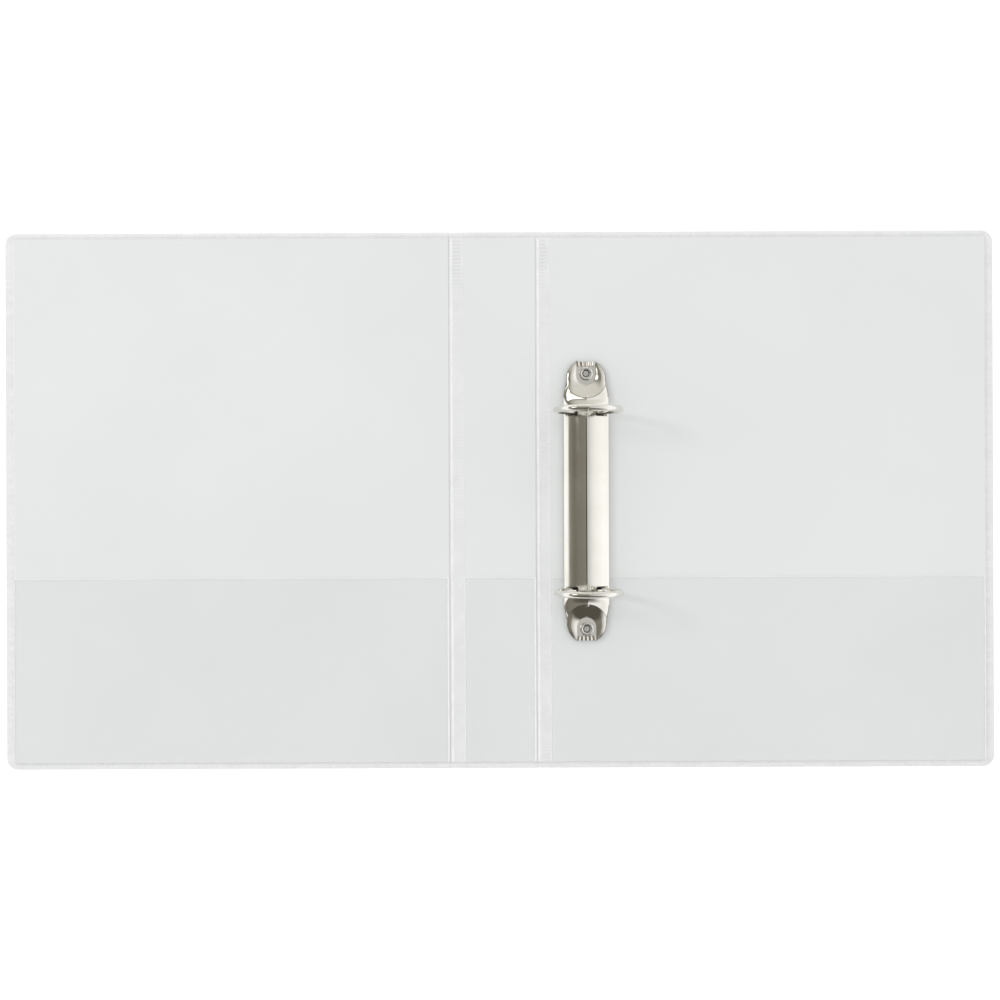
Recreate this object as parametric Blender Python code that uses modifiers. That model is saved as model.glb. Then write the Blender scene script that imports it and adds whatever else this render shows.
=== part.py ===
"""A5 ring binder with a welded film cover and a two-ring mechanism, lying open and flat.

The origin is under the middle of the open spread, on the surface it lies on. +X runs from the spine
to the free edge of the back cover, +Y to the top edge, +Z up, towards the reader.
"""

import math

import bmesh
import bpy
from mathutils import Matrix, Vector

MM = 0.001

# Open spread: three stiff panels, joined by two film hinges that fold along lines parallel to Y.
HALF_LENGTH = 222.0 * MM
HALF_HEIGHT = 120.5 * MM
CORNER_RADIUS = 5.0 * MM
SQUARE_CORNER = 0.5 * MM
LEAST_CORNER = 0.4 * MM
WEB_CORNER = 0.3 * MM
FRONT_FOLD_X = -22.05 * MM
BACK_FOLD_X = 16.9 * MM
FOLD_Z = 0.65 * MM
FOLD_GAP = 0.45 * MM
WEB_GAP = 0.3 * MM
FRONT_WEB_END_X = -16.5 * MM
BACK_WEB_END_X = 22.0 * MM

# Layers of a panel, from the outside of the binder to the inside.
OVERLAY_Z = 0.0 * MM
OVERLAY_THICKNESS = 0.2 * MM
OVERLAY_MARGIN = 0.6 * MM
OUTER_FILM_Z = 0.3 * MM
FILM_THICKNESS = 0.3 * MM
BOARD_Z = 0.7 * MM
BOARD_THICKNESS = 1.8 * MM
BOARD_MARGIN = 0.25 * MM
LINER_RIM_Z = 0.7 * MM
LINER_TOP_Z = 2.6 * MM
POCKET_Z = 3.0 * MM
POCKET_THICKNESS = 0.2 * MM
WEB_THICKNESS = 0.7 * MM

# Weld bands round the boards, and the slope of the liner from the band up to the board.
SIDE_BAND = 4.0 * MM
END_BAND = 2.3 * MM
FOLD_BAND = 0.3 * MM
LINER_SLOPE = 1.4 * MM
POCKET_EDGE_Y = -34.65 * MM

# Ring mechanism, placed by the middle of its underside.
MECHANISM = Vector((38.8 * MM, -0.7 * MM, 3.3 * MM))
HOUSING_HALF_WIDTH = 10.0 * MM
HOUSING_HALF_LENGTH = 62.3 * MM
HOUSING_SHOULDER = 7.0 * MM
HOUSING_RIDGE = 0.5 * MM
HOUSING_WALL = 0.8 * MM
HOUSING_END_RADIUS = 8.8 * MM
HOUSING_END_CENTRE_Y = 54.6 * MM
SHOULDER_POWER = 2.6
LIP_REACH = 1.5 * MM
RIVET_Y = 57.1 * MM
SEAT_Z = 1.0 * MM
SEAT_RADIUS = 3.6 * MM
DISH_RADIUS = 8.8 * MM
DISH_DEPTH = 4.6 * MM
DISH_SHIFT = 1.0 * MM
CHANNEL_HALF_WIDTH = 3.2 * MM

# Rings: each is a closed circle of wire in two halves that overlap at the top.
RING_Y = 40.0 * MM
RING_RADIUS = 14.0 * MM
WIRE_RADIUS = 1.5 * MM
RING_CENTRE_Z = 16.5 * MM
RING_FOOT_X = 5.3 * MM
TONGUE_REACH = 0.9 * MM
HALF_GAP = 0.15 * MM
NOTCH_WIDTH = 4.3 * MM
NOTCH_INNER_X = 4.0 * MM
NOTCH_FLOOR_Z = 2.6 * MM

# Carrier blades: each turns about its outer edge inside the housing.
BLADE_PIVOT_X = 9.0 * MM
BLADE_PIVOT_Z = 1.5 * MM
BLADE_WIDTH = 8.75 * MM
BLADE_LENGTH = 94.0 * MM
BLADE_THICKNESS = 0.9 * MM
BLADE_TILT = math.radians(6.0)
BLADE_EDGE_GAP = 0.3 * MM
STEM_RADIUS = 1.0 * MM
STEM_HOLE_RADIUS = 1.35 * MM
STEM_FOOT_Z = 0.35 * MM

# Rivets: flat head flush with the outside, hollow shank, rolled flange on the housing.
RIVET_HEAD_RADIUS = 4.0 * MM
RIVET_HEAD_THICKNESS = 0.5 * MM
RIVET_SHANK_RADIUS = 2.0 * MM
RIVET_FLANGE_RADIUS = 3.1 * MM
RIVET_BORE_RADIUS = 1.5 * MM
RIVET_FLANGE_Z = MECHANISM.z + SEAT_Z + 0.1 * MM
RIVET_FLANGE_THICKNESS = 0.6 * MM
RIVET_ROLL = 0.3 * MM
RIVET_BORE_FLOOR_Z = 2.0 * MM
HOLE_CLEARANCE = 0.3 * MM

ROUND_SEGMENTS = 32
CORNER_SEGMENTS = 6
END_SEGMENTS = 8
SECTION_STEPS = 10
WIRE_STEPS = 44
SMOOTH_ANGLE = math.radians(35.0)
FAR = 20.0 * MM


# --- scene and materials -------------------------------------------------------------------------


def clear_scene():
    for obj in list(bpy.data.objects):
        bpy.data.objects.remove(obj, do_unlink=True)


def new_collection(name):
    collection = bpy.data.collections.new(name)
    bpy.context.scene.collection.children.link(collection)
    return collection


def new_material(name, colour, metallic, roughness, transmission=0.0):
    material = bpy.data.materials.new(name)
    material.use_nodes = True
    shader = material.node_tree.nodes["Principled BSDF"]
    shader.inputs["Base Color"].default_value = (*colour, 1.0)
    shader.inputs["Metallic"].default_value = metallic
    shader.inputs["Roughness"].default_value = roughness
    shader.inputs["Transmission Weight"].default_value = transmission
    return material


def white_film():
    return new_material("white_film", (0.83, 0.85, 0.84), 0.0, 0.35)


def clear_film():
    return new_material("clear_film", (0.93, 0.95, 0.95), 0.0, 0.12, transmission=0.9)


def grey_board():
    return new_material("grey_board", (0.52, 0.5, 0.46), 0.0, 0.9)


def nickel():
    return new_material("nickel", (0.72, 0.69, 0.64), 1.0, 0.12)


def blade_steel():
    return new_material("blade_steel", (0.5, 0.49, 0.47), 1.0, 0.35)


def rivet_steel():
    return new_material("rivet_steel", (0.62, 0.61, 0.59), 1.0, 0.28)


# --- building blocks -----------------------------------------------------------------------------


class Builder:
    """Holds the two collections: the parts that make up the binder, and the cutters that shape them."""

    def __init__(self):
        self.parts = new_collection("ring_binder")
        self.cutters = new_collection("cutters")

    def add_part(self, obj, material):
        self.parts.objects.link(obj)
        obj.data.materials.clear()
        obj.data.materials.append(material)
        return obj

    def add_cutter(self, obj):
        self.cutters.objects.link(obj)
        obj.hide_render = True
        obj.display_type = "WIRE"
        return obj


def evaluated_mesh(obj, weld=1e-6):
    """The object's final mesh, with loose curve caps welded to its sides."""
    bpy.context.view_layer.update()
    graph = bpy.context.evaluated_depsgraph_get()
    mesh = bpy.data.meshes.new_from_object(obj.evaluated_get(graph))
    edited = bmesh.new()
    edited.from_mesh(mesh)
    bmesh.ops.remove_doubles(edited, verts=edited.verts, dist=weld)
    bmesh.ops.recalc_face_normals(edited, faces=edited.faces)
    edited.to_mesh(mesh)
    edited.free()
    return mesh


def curve_to_mesh(builder, curve):
    """Replaces a curve by a cutter object with the same shape and place."""
    builder.cutters.objects.link(curve)
    mesh = evaluated_mesh(curve)
    solid = bpy.data.objects.new(curve.name, mesh)
    solid.matrix_world = curve.matrix_world
    bpy.data.objects.remove(curve, do_unlink=True)
    return builder.add_cutter(solid)


def flat_curve(name, outlines, thickness):
    """A 2D curve filled on both sides. The first outline is the edge, the others are holes."""
    data = bpy.data.curves.new(name, "CURVE")
    data.dimensions = "2D"
    data.fill_mode = "BOTH"
    data.extrude = thickness / 2
    for outline in outlines:
        spline = data.splines.new("POLY")
        spline.points.add(len(outline) - 1)
        for point, (x, y) in zip(spline.points, outline):
            point.co = (x, y, 0.0, 1.0)
        spline.use_cyclic_u = True
    return bpy.data.objects.new(name, data)


def arc(centre_x, centre_y, radius, start, end, segments):
    angles = [start + (end - start) * i / segments for i in range(segments + 1)]
    return [(centre_x + radius * math.cos(a), centre_y + radius * math.sin(a)) for a in angles]


def circle(centre_x, centre_y, radius):
    return arc(centre_x, centre_y, radius, 0.0, math.tau, ROUND_SEGMENTS)[:-1]


def panel_outline(left, right, half_height, left_radius, right_radius):
    """A rectangle, anticlockwise from its lower right corner, with its own corner radius each side."""
    top, quarter = half_height, math.pi / 2
    points = []
    for x, y, radius, turn in (
        (right, -top, right_radius, -1),
        (right, top, right_radius, 0),
        (left, top, left_radius, 1),
        (left, -top, left_radius, 2),
    ):
        inset_x = x - math.copysign(radius, x - (left + right) / 2)
        inset_y = y - math.copysign(radius, y)
        points += arc(inset_x, inset_y, radius, turn * quarter, (turn + 1) * quarter, CORNER_SEGMENTS)
    return points


def box_mesh(name, low, high):
    mesh = bpy.data.meshes.new(name)
    edited = bmesh.new()
    bmesh.ops.create_cube(edited, size=1.0)
    size = Vector(high) - Vector(low)
    bmesh.ops.scale(edited, vec=size, verts=edited.verts)
    bmesh.ops.translate(edited, vec=(Vector(high) + Vector(low)) / 2, verts=edited.verts)
    edited.to_mesh(mesh)
    edited.free()
    return mesh


def cone_mesh(name, low_radius, high_radius, low_z, high_z):
    mesh = bpy.data.meshes.new(name)
    edited = bmesh.new()
    bmesh.ops.create_cone(
        edited,
        cap_ends=True,
        segments=ROUND_SEGMENTS,
        radius1=low_radius,
        radius2=high_radius,
        depth=high_z - low_z,
    )
    bmesh.ops.translate(edited, vec=(0.0, 0.0, (high_z + low_z) / 2), verts=edited.verts)
    edited.to_mesh(mesh)
    edited.free()
    return mesh


def cut_box(builder, name, low, high, location=Vector()):
    cutter = bpy.data.objects.new(name, box_mesh(name, low, high))
    cutter.location = location
    return builder.add_cutter(cutter)


def cut_cone(builder, name, low_radius, high_radius, low_z, high_z, location=Vector()):
    cutter = bpy.data.objects.new(name, cone_mesh(name, low_radius, high_radius, low_z, high_z))
    cutter.location = location
    return builder.add_cutter(cutter)


def boolean(target, tool, operation="DIFFERENCE"):
    modifier = target.modifiers.new(f"{operation.lower()}_{tool.name}", "BOOLEAN")
    modifier.operation = operation
    modifier.solver = "EXACT"
    modifier.object = tool


def shade_round(obj):
    obj.data.shade_smooth()
    obj.data.set_sharp_from_angle(angle=SMOOTH_ANGLE)


def pivot(builder, name, location, parent=None):
    """An empty on a hinge axis, which carries the pieces that turn about it."""
    empty = bpy.data.objects.new(name, None)
    builder.parts.objects.link(empty)
    empty["world"] = location
    empty.location = location
    if parent:
        empty.parent = parent
        empty.location = Vector(location) - Vector(parent["world"])
    return empty


def attach(obj, parent):
    """Hangs the object on a pivot and keeps it in its place."""
    obj.parent = parent
    obj.location = obj.location - Vector(parent["world"])


# --- film cover ----------------------------------------------------------------------------------


class Panel:
    """One of the three stiff panels: its extent, its corner radii, its weld bands and its holes."""

    def __init__(self, name, left, right, left_band, right_band, left_radius, right_radius, holes=()):
        self.name = name
        self.left, self.right = left, right
        self.left_band, self.right_band = left_band, right_band
        self.left_radius, self.right_radius = left_radius, right_radius
        self.holes = holes

    def inset_outline(self, left, right, ends):
        """The panel's outline, moved in by its own distance at the left, the right and both ends."""
        left_radius = max(self.left_radius - max(left, ends), LEAST_CORNER)
        right_radius = max(self.right_radius - max(right, ends), LEAST_CORNER)
        return panel_outline(
            self.left + left, self.right - right, HALF_HEIGHT - ends, left_radius, right_radius
        )

    def board_inset(self, extra=0.0):
        reach = LINER_SLOPE + extra
        return self.left_band + reach, self.right_band + reach, END_BAND + reach


def rivet_places():
    return [(MECHANISM.x, MECHANISM.y + side * RIVET_Y) for side in (1, -1)]


def panels():
    front_end, back_start = FRONT_FOLD_X - FOLD_GAP, BACK_WEB_END_X + WEB_GAP
    spine_start, spine_end = FRONT_WEB_END_X + WEB_GAP, BACK_FOLD_X - FOLD_GAP
    return (
        Panel("front", -HALF_LENGTH, front_end, SIDE_BAND, FOLD_BAND, CORNER_RADIUS, SQUARE_CORNER),
        Panel("spine", spine_start, spine_end, FOLD_BAND, FOLD_BAND, SQUARE_CORNER, SQUARE_CORNER),
        Panel(
            "back",
            back_start,
            HALF_LENGTH,
            FOLD_BAND,
            SIDE_BAND,
            SQUARE_CORNER,
            CORNER_RADIUS,
            rivet_places(),
        ),
    )


def sheet(builder, name, outline, low_z, thickness, material, holes=(), hole_radius=0.0):
    outlines = [outline] + [circle(x, y, hole_radius) for x, y in holes]
    obj = flat_curve(name, outlines, thickness)
    obj.location.z = low_z + thickness / 2
    return builder.add_part(obj, material)


def outer_overlay(builder, panel, material):
    outline = panel.inset_outline(OVERLAY_MARGIN, OVERLAY_MARGIN, OVERLAY_MARGIN)
    return sheet(
        builder,
        f"{panel.name}_outer_overlay",
        outline,
        OVERLAY_Z,
        OVERLAY_THICKNESS,
        material,
        panel.holes,
        RIVET_HEAD_RADIUS + HOLE_CLEARANCE,
    )


def outer_film(builder, panel, material):
    outline = panel.inset_outline(0.0, 0.0, 0.0)
    return sheet(
        builder,
        f"{panel.name}_outer_film",
        outline,
        OUTER_FILM_Z,
        FILM_THICKNESS,
        material,
        panel.holes,
        RIVET_HEAD_RADIUS + HOLE_CLEARANCE,
    )


def board(builder, panel, material):
    outline = panel.inset_outline(*panel.board_inset(BOARD_MARGIN))
    return sheet(
        builder,
        f"{panel.name}_board",
        outline,
        BOARD_Z,
        BOARD_THICKNESS,
        material,
        panel.holes,
        RIVET_SHANK_RADIUS + HOLE_CLEARANCE,
    )


def inner_pocket(builder, panel, material):
    """A clear strip along the lower edge. Its outline is the board's, cut off at the pocket's edge."""
    left, right, ends = panel.board_inset()
    low_y, high_y = -HALF_HEIGHT + ends, POCKET_EDGE_Y
    middle = (low_y + high_y) / 2
    outline = panel_outline(
        panel.left + left, panel.right - right, high_y - middle, LEAST_CORNER, LEAST_CORNER
    )
    outline = [(x, y + middle) for x, y in outline]
    holes = [place for place in panel.holes if place[1] < POCKET_EDGE_Y]
    hole_radius = RIVET_SHANK_RADIUS + HOLE_CLEARANCE
    name = f"{panel.name}_inner_pocket"
    return sheet(builder, name, outline, POCKET_Z, POCKET_THICKNESS, material, holes, hole_radius)


def loop_at(edited, outline, z):
    """A closed ring of vertices and its edges, at one height."""
    verts = [edited.verts.new((x, y, z)) for x, y in outline]
    edges = [edited.edges.new((a, b)) for a, b in zip(verts, verts[1:] + verts[:1])]
    return verts, edges


def inner_liner(builder, panel, material):
    """White film that lies flat on the weld band, climbs the board's edge and covers the board."""
    edited = bmesh.new()
    _, rim = loop_at(edited, panel.inset_outline(0.0, 0.0, 0.0), LINER_RIM_Z)
    band = (panel.left_band, panel.right_band, END_BAND)
    _, band_edge = loop_at(edited, panel.inset_outline(*band), LINER_RIM_Z)
    top_verts, top = loop_at(edited, panel.inset_outline(*panel.board_inset()), LINER_TOP_Z)
    bmesh.ops.bridge_loops(edited, edges=rim + band_edge)
    bmesh.ops.bridge_loops(edited, edges=band_edge + top)
    edited.faces.new(top_verts)
    bmesh.ops.recalc_face_normals(edited, faces=edited.faces)
    if edited.faces[-1].normal.z < 0:
        bmesh.ops.reverse_faces(edited, faces=edited.faces)
    mesh = bpy.data.meshes.new(f"{panel.name}_inner_liner")
    edited.to_mesh(mesh)
    edited.free()
    obj = builder.add_part(bpy.data.objects.new(mesh.name, mesh), material)
    solidify = obj.modifiers.new("film_thickness", "SOLIDIFY")
    solidify.thickness = FILM_THICKNESS
    solidify.offset = 1.0
    for number, (x, y) in enumerate(panel.holes):
        radius = RIVET_SHANK_RADIUS + HOLE_CLEARANCE
        name = f"{mesh.name}_hole_{number}"
        boolean(obj, cut_cone(builder, name, radius, radius, 0.0, FAR, Vector((x, y, 0.0))))
    return obj


def hinge_web(builder, name, left, right, material):
    outline = panel_outline(left, right, HALF_HEIGHT, WEB_CORNER, WEB_CORNER)
    return sheet(builder, name, outline, OUTER_FILM_Z, WEB_THICKNESS, material)


def make_cover(builder, spine_pivot, front_pivot):
    white, clear, grey = white_film(), clear_film(), grey_board()
    pivots = {"front": front_pivot, "spine": spine_pivot, "back": None}
    for panel in panels():
        layers = [
            outer_overlay(builder, panel, clear),
            outer_film(builder, panel, white),
            board(builder, panel, grey),
            inner_liner(builder, panel, white),
            inner_pocket(builder, panel, clear),
        ]
        for layer in layers:
            if pivots[panel.name]:
                attach(layer, pivots[panel.name])
    front_web = hinge_web(builder, "front_hinge_web", FRONT_FOLD_X + FOLD_GAP, FRONT_WEB_END_X, white)
    attach(front_web, spine_pivot)
    hinge_web(builder, "back_hinge_web", BACK_FOLD_X + FOLD_GAP, BACK_WEB_END_X, white)


# --- ring housing --------------------------------------------------------------------------------


def housing_profile(inset, foot_z):
    """Half-round section across the housing, with a soft ridge, closed along a flat bottom."""
    half_width, shoulder = HOUSING_HALF_WIDTH - inset, HOUSING_SHOULDER - inset
    points = []
    for step in range(-SECTION_STEPS, SECTION_STEPS + 1):
        angle = math.pi / 2 * abs(step) / SECTION_STEPS
        reach = math.sin(angle) ** (2 / SHOULDER_POWER)
        height = math.cos(angle) ** (2 / SHOULDER_POWER) if abs(step) < SECTION_STEPS else 0.0
        x = math.copysign(half_width * reach, step)
        points.append((x, shoulder * height + HOUSING_RIDGE * (1 - reach) ** 2))
    if foot_z < 0:
        points = [(-half_width, foot_z)] + points + [(half_width, foot_z)]
    return points


def housing_plan(inset):
    """Outline from above: straight sides, ends rounded about the rivets and cut off flat."""
    half_width = HOUSING_HALF_WIDTH - inset
    radius = HOUSING_END_RADIUS - inset
    flat_y = HOUSING_HALF_LENGTH - inset
    shoulder_y = HOUSING_END_CENTRE_Y - HOUSING_END_RADIUS
    flat_angle = math.asin((flat_y - HOUSING_END_CENTRE_Y) / radius)
    end = arc(0.0, HOUSING_END_CENTRE_Y, radius, 0.0, flat_angle, END_SEGMENTS)
    right_top = [(half_width, shoulder_y)] + end
    left_top = [(-x, y) for x, y in reversed(right_top)]
    bottom = [(-x, -y) for x, y in right_top + left_top]
    return right_top + left_top + bottom


def housing_block(builder, name, inset, foot_z):
    """Solid block with the housing's section and outline, used whole or as the hollow inside it."""
    section = flat_curve(f"{name}_section", [housing_profile(inset, foot_z)], 2 * HOUSING_HALF_LENGTH + FAR)
    section.rotation_euler.x = math.pi / 2
    section.location = MECHANISM
    block = curve_to_mesh(builder, section)
    plan = flat_curve(f"{name}_plan", [housing_plan(inset)], 2 * FAR)
    plan.location = MECHANISM
    boolean(block, curve_to_mesh(builder, plan), "INTERSECT")
    return block


def cut_dishes(builder, block, name, wall):
    """Sinks a conical dish round each rivet, open to the end of the housing. A wall above 0 makes the
    larger dish that leaves the sheet metal's thickness under the visible one."""
    slope = math.atan2(DISH_DEPTH, DISH_RADIUS - SEAT_RADIUS)
    spread = wall * (1 - math.cos(slope)) / math.sin(slope)
    low_radius, low_z = SEAT_RADIUS + spread, SEAT_Z - wall
    high_z = low_z + 2 * DISH_DEPTH
    high_radius = low_radius + 2 * DISH_DEPTH / math.tan(slope)
    for number, side in enumerate((1, -1)):
        centre = MECHANISM + Vector((0.0, side * (RIVET_Y - DISH_SHIFT), 0.0))
        dish = cut_cone(builder, f"{name}_dish_{number}", low_radius, high_radius, low_z, high_z, centre)
        boolean(block, dish)
        half_width = CHANNEL_HALF_WIDTH + wall
        low = (-half_width, 0.0, low_z)
        high = (half_width, FAR, high_z)
        channel = cut_box(builder, f"{name}_channel_{number}", low, high, centre)
        channel.rotation_euler.z = 0.0 if side > 0 else math.pi
        boolean(block, channel)


def ring_housing(builder, material):
    block = housing_block(builder, "housing", 0.0, 0.0)
    cut_dishes(builder, block, "housing", 0.0)
    hollow = housing_block(builder, "hollow", HOUSING_WALL, -HOUSING_WALL)
    cut_dishes(builder, hollow, "hollow", HOUSING_WALL)
    boolean(block, hollow)
    for side in (1, -1):
        wall_x = side * (HOUSING_HALF_WIDTH - HOUSING_WALL / 2)
        tip_x = side * (HOUSING_HALF_WIDTH - LIP_REACH)
        low = (min(wall_x, tip_x), -BLADE_LENGTH / 2, 0.0)
        high = (max(wall_x, tip_x), BLADE_LENGTH / 2, HOUSING_WALL)
        boolean(block, cut_box(builder, f"lip_{side}", low, high, MECHANISM), "UNION")
        rivet_hole = cut_cone(
            builder,
            f"rivet_hole_{side}",
            RIVET_SHANK_RADIUS + HOLE_CLEARANCE,
            RIVET_SHANK_RADIUS + HOLE_CLEARANCE,
            -SEAT_Z,
            SEAT_Z * 2,
            MECHANISM + Vector((0.0, side * RIVET_Y, 0.0)),
        )
        boolean(block, rivet_hole)
        for end in (1, -1):
            near, far = side * NOTCH_INNER_X, side * (HOUSING_HALF_WIDTH + MM)
            low = (min(near, far), end * RING_Y - NOTCH_WIDTH / 2, NOTCH_FLOOR_Z)
            high = (max(near, far), end * RING_Y + NOTCH_WIDTH / 2, FAR)
            boolean(block, cut_box(builder, f"notch_{side}_{end}", low, high, MECHANISM))
    mesh = evaluated_mesh(block)
    mesh.transform(Matrix.Translation(-MECHANISM) @ block.matrix_world)
    housing = bpy.data.objects.new("ring_housing", mesh)
    housing.location = MECHANISM
    bpy.data.objects.remove(block, do_unlink=True)
    builder.add_part(housing, material)
    shade_round(housing)
    return housing


# --- rings and carrier blades --------------------------------------------------------------------


def ring_half_mesh(builder):
    """The left half, about its pivot: wire from its foot round the left side to a tongue at the top."""
    centre = Vector((BLADE_PIVOT_X, 0.0, RING_CENTRE_Z - BLADE_PIVOT_Z))
    start = math.asin(RING_FOOT_X / RING_RADIUS)
    end = math.pi + math.asin((TONGUE_REACH - HALF_GAP) / RING_RADIUS)
    data = bpy.data.curves.new("ring_wire", "CURVE")
    data.dimensions = "3D"
    data.bevel_depth = WIRE_RADIUS
    data.bevel_resolution = 2
    data.use_fill_caps = True
    spline = data.splines.new("POLY")
    spline.points.add(WIRE_STEPS)
    for step, point in enumerate(spline.points):
        angle = start + (end - start) * step / WIRE_STEPS
        offset = Vector((-math.sin(angle), 0.0, -math.cos(angle))) * RING_RADIUS
        point.co = (*(centre + offset), 1.0)
    wire = curve_to_mesh(builder, bpy.data.objects.new("ring_wire", data))
    foot_x = BLADE_PIVOT_X - RING_FOOT_X
    foot_z = RING_CENTRE_Z - math.sqrt(RING_RADIUS**2 - RING_FOOT_X**2) - BLADE_PIVOT_Z
    stem_place = Vector((foot_x, 0.0, 0.0))
    stem = cut_cone(
        builder, "ring_stem", STEM_RADIUS, STEM_RADIUS, STEM_FOOT_Z - BLADE_PIVOT_Z, foot_z, stem_place
    )
    boolean(wire, stem, "UNION")
    low = (-TONGUE_REACH - HALF_GAP, -FAR, 0.0)
    high = (FAR, HALF_GAP, FAR)
    step_cutter = cut_box(builder, "tongue_step", low, high, centre)
    boolean(wire, step_cutter)
    mesh = evaluated_mesh(wire)
    mesh.shade_smooth()
    mesh.set_sharp_from_angle(angle=SMOOTH_ANGLE)
    for obj in (wire, stem, step_cutter):
        bpy.data.objects.remove(obj, do_unlink=True)
    return mesh


def blade_mesh(builder):
    """The left blade, flat, beside its pivot line, with a hole for the stem of each ring half."""
    half_length, half_thickness = BLADE_LENGTH / 2, BLADE_THICKNESS / 2
    low = (BLADE_EDGE_GAP, -half_length, -half_thickness)
    high = (BLADE_WIDTH, half_length, half_thickness)
    blade = bpy.data.objects.new("blade", box_mesh("blade", low, high))
    builder.add_cutter(blade)
    hole_x = (BLADE_PIVOT_X - RING_FOOT_X) / math.cos(BLADE_TILT)
    holes = []
    for end in (1, -1):
        place = Vector((hole_x, end * RING_Y, 0.0))
        name = f"stem_hole_{end}"
        hole = cut_cone(
            builder, name, STEM_HOLE_RADIUS, STEM_HOLE_RADIUS, -BLADE_THICKNESS, BLADE_THICKNESS, place
        )
        boolean(blade, hole)
        holes.append(hole)
    mesh = evaluated_mesh(blade)
    for obj in [blade] + holes:
        bpy.data.objects.remove(obj, do_unlink=True)
    return mesh


def make_rings(builder):
    """The right side is the left one turned half round about the mechanism's upright middle line."""
    half, blade = ring_half_mesh(builder), blade_mesh(builder)
    wire_material, blade_material = nickel(), blade_steel()
    for side, side_name, turn in ((-1, "left", 0.0), (1, "right", math.pi)):
        place = MECHANISM + Vector((side * BLADE_PIVOT_X, 0.0, BLADE_PIVOT_Z))
        carrier = pivot(builder, f"{side_name}_carrier_pivot", place)
        plate = builder.add_part(bpy.data.objects.new(f"{side_name}_carrier_blade", blade), blade_material)
        plate.parent = carrier
        plate.rotation_euler = (0.0, BLADE_TILT, turn)
        for end, end_name in ((1, "upper"), (-1, "lower")):
            name = f"{end_name}_{side_name}_ring_half"
            ring = builder.add_part(bpy.data.objects.new(name, half), wire_material)
            ring.parent = carrier
            ring.location = (0.0, end * RING_Y, 0.0)
            ring.rotation_euler.z = turn


# --- rivets --------------------------------------------------------------------------------------


def rivet(builder, name, x, y, material):
    """A turned profile, from the floor of the bore out to the flange and down to the flat head."""
    flange_top = RIVET_FLANGE_Z + RIVET_FLANGE_THICKNESS
    profile = (
        (0.0, RIVET_BORE_FLOOR_Z),
        (RIVET_BORE_RADIUS, RIVET_BORE_FLOOR_Z),
        (RIVET_BORE_RADIUS, flange_top),
        (RIVET_BORE_RADIUS + RIVET_ROLL, flange_top + RIVET_ROLL),
        (RIVET_SHANK_RADIUS + RIVET_ROLL, flange_top + RIVET_ROLL),
        (RIVET_FLANGE_RADIUS, flange_top - RIVET_ROLL),
        (RIVET_FLANGE_RADIUS, RIVET_FLANGE_Z),
        (RIVET_SHANK_RADIUS, RIVET_FLANGE_Z),
        (RIVET_SHANK_RADIUS, RIVET_HEAD_THICKNESS),
        (RIVET_HEAD_RADIUS, RIVET_HEAD_THICKNESS),
        (RIVET_HEAD_RADIUS, 0.0),
        (0.0, 0.0),
    )
    mesh = bpy.data.meshes.new(name)
    edited = bmesh.new()
    verts = [edited.verts.new((radius, 0.0, z)) for radius, z in profile]
    for a, b in zip(verts, verts[1:]):
        edited.edges.new((a, b))
    edited.to_mesh(mesh)
    edited.free()
    obj = builder.add_part(bpy.data.objects.new(name, mesh), material)
    obj.location = (x, y, 0.0)
    screw = obj.modifiers.new("turned", "SCREW")
    screw.steps = screw.render_steps = ROUND_SEGMENTS
    screw.use_merge_vertices = True
    screw.merge_threshold = 0.01 * MM
    screw.use_smooth_shade = False
    return obj


def make_rivets(builder):
    material = rivet_steel()
    for name, (x, y) in zip(("upper_rivet", "lower_rivet"), rivet_places()):
        rivet(builder, name, x, y, material)


def main():
    clear_scene()
    builder = Builder()
    spine_pivot = pivot(builder, "spine_pivot", (BACK_FOLD_X, 0.0, FOLD_Z))
    front_pivot = pivot(builder, "front_pivot", (FRONT_FOLD_X, 0.0, FOLD_Z), spine_pivot)
    make_cover(builder, spine_pivot, front_pivot)
    ring_housing(builder, nickel())
    make_rings(builder)
    make_rivets(builder)


main()
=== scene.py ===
"""Looks of the open A5 ring binder: welded film cover, clear inner pockets, nickel ring mechanism."""

import math

import bmesh
import bpy
import numpy as np
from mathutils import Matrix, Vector


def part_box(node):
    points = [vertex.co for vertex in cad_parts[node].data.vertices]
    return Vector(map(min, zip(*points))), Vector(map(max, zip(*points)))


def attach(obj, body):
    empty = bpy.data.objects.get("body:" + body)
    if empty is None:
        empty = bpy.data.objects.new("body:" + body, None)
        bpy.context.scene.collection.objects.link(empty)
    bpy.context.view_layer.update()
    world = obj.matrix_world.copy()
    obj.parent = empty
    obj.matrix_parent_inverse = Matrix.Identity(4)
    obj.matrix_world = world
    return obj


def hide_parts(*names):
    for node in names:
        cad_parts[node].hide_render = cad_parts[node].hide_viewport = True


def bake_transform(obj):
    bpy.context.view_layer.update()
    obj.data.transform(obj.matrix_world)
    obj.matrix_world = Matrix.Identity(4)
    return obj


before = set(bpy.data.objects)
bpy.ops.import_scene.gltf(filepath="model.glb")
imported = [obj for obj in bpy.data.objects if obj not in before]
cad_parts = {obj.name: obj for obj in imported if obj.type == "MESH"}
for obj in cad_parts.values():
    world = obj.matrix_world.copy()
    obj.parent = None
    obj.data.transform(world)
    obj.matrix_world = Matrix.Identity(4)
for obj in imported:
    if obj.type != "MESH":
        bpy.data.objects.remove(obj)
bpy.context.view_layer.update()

MM = 0.001
TAU = math.tau

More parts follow.
